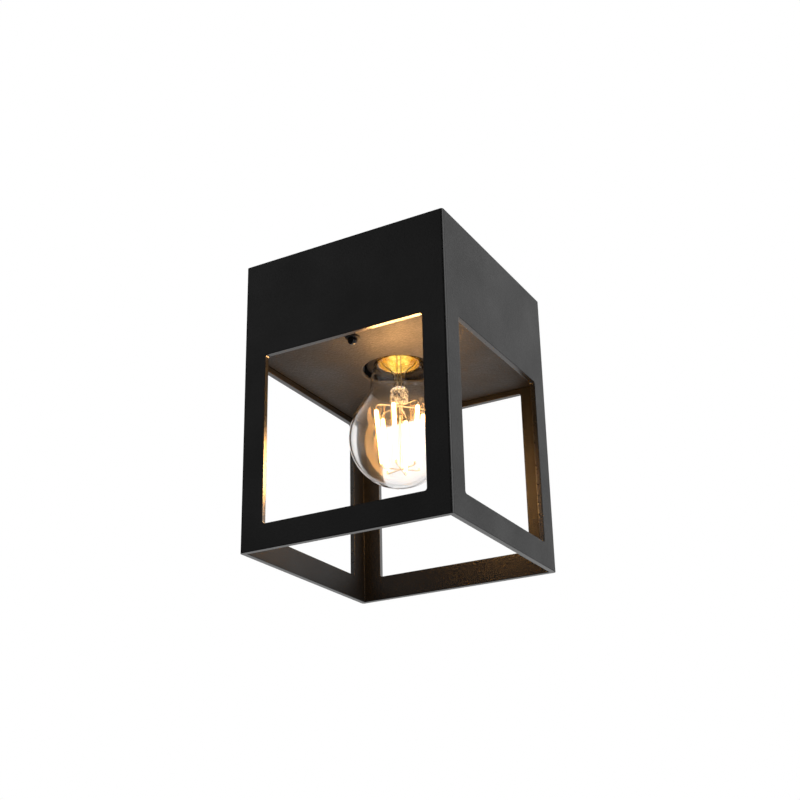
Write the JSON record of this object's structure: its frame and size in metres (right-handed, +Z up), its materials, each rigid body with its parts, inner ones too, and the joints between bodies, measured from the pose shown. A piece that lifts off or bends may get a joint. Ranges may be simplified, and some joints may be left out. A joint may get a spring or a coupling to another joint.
{
  "type": "porch ceiling lantern",
  "caption": "Square black ceiling lantern: a metal cage with open windows hangs from a crossbar on the ceiling around one clear bare bulb under a flat lamp plate.",
  "frame": {"origin": "on the ceiling face, at the middle of the crossbar and its two slots", "axes": "+Z up into the ceiling, the cage hangs below; -Y is the front wall; the crossbar runs along Y"},
  "size_m": [0.13, 0.13, 0.175],
  "materials": {
    "powder_coat": "fine-texture black powder coat",
    "plate_coat": "smooth satin black paint",
    "zinc_steel": "bright zinc plating",
    "black_nut": "glossy black",
    "bush_rubber": "matt black",
    "phenolic": "glossy black moulding",
    "seal_rubber": "matt black rubber",
    "brass": "bright brass",
    "block_plastic": "matt black moulding",
    "wire_brown": "satin brown insulation",
    "wire_blue": "satin blue insulation",
    "wire_green": "satin green and yellow insulation",
    "clear_glass": "clear and smooth",
    "cap_metal": "nickel-coloured, golden in the lamp light",
    "cap_vitrite": "glossy dark insulator",
    "solder": "soft solder",
    "lead_metal": "fine drawn wire",
    "filament": "warm white, glowing"
  },
  "bodies": {
    "bracket": {"ceiling_bracket": "zinc_steel", "cable_bush": "bush_rubber", "bracket_studs": "zinc_steel", "stud_nuts": "zinc_steel", "earth_screw": "brass", "earth_washer": "zinc_steel"},
    "housing": {"housing_shell": "powder_coat", "lamp_plate": "plate_coat", "plate_studs": "zinc_steel", "plate_nuts": "zinc_steel", "holder_bridge": "zinc_steel", "holder_body": "phenolic", "holder_screws": "zinc_steel", "thread_sleeve": "brass", "holder_seal": "seal_rubber", "centre_contact": "brass", "side_contact": "brass", "holder_terminals": "brass", "holder_terminal_screws": "zinc_steel", "terminal_block": "block_plastic", "terminal_clamps": "brass", "terminal_screws": "zinc_steel", "earth_tag": "brass", "wire_live": "wire_brown", "wire_neutral": "wire_blue", "wire_earth": "wire_green"},
    "bulb": {"bulb_glass": "clear_glass", "bulb_cap": "cap_metal", "cap_insulator": "cap_vitrite", "cap_contact": "solder", "bulb_stem": "clear_glass", "bulb_leads": "lead_metal", "bulb_filaments": "filament", "bulb_frame": "lead_metal"},
    "cap_nut_front": {"cap_nut_front": "black_nut"},
    "cap_nut_rear": {"cap_nut_rear": "black_nut"}
  },
  "joints": [
    {"name": "housing_lower", "type": "slide", "parent": "bracket", "child": "housing", "axis": [0, 0, -1], "range_m": [0, 0.09]},
    {"name": "bulb_out", "type": "slide", "parent": "housing", "child": "bulb", "axis": [0, 0, -1], "range_m": [0, 0.16]},
    {"name": "cap_nut_front_off", "type": "slide", "parent": "housing", "child": "cap_nut_front", "axis": [0, 0, -1], "range_m": [0, 0.025]},
    {"name": "cap_nut_rear_off", "type": "slide", "parent": "housing", "child": "cap_nut_rear", "axis": [0, 0, -1], "range_m": [0, 0.025]}
  ]
}
